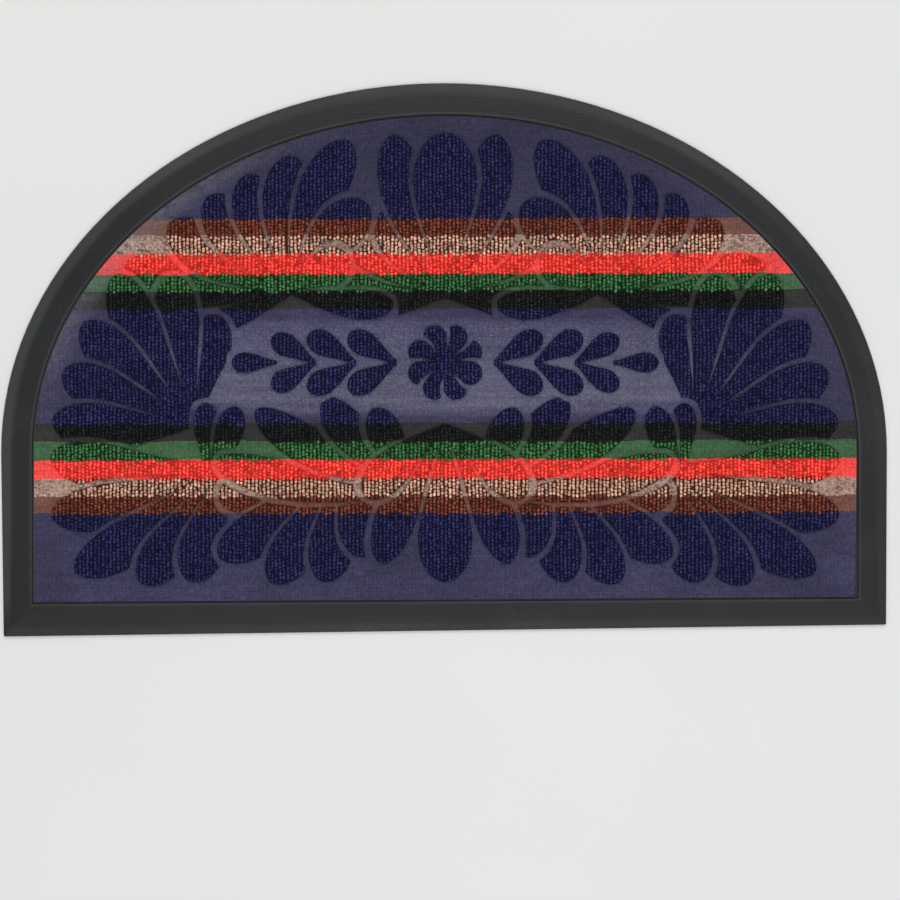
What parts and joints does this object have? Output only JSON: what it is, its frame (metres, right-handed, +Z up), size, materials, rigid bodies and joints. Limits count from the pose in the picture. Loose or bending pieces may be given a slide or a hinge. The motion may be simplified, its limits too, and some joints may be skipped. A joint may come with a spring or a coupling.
{
  "type": "half-round doormat",
  "caption": "Half-round doormat: a striped looped-pile panel with leaf relief, laid in a rubber tray with a sloping border. It lies flat on the floor by a door.",
  "frame": {"origin": "middle of the rectangular extent, on the floor", "axes": "+Z up from the floor through the pile, straight edge towards -Y, arch towards +Y"},
  "size_m": [0.7492, 0.468, 0.007],
  "materials": {
    "rubber": "matt, finely ribbed",
    "carpet": "matt looped pile, navy with black, green, red, tan and brown stripes"
  },
  "bodies": {
    "root": {"rubber_base": "rubber", "carpet": "carpet"}
  },
  "joints": []
}
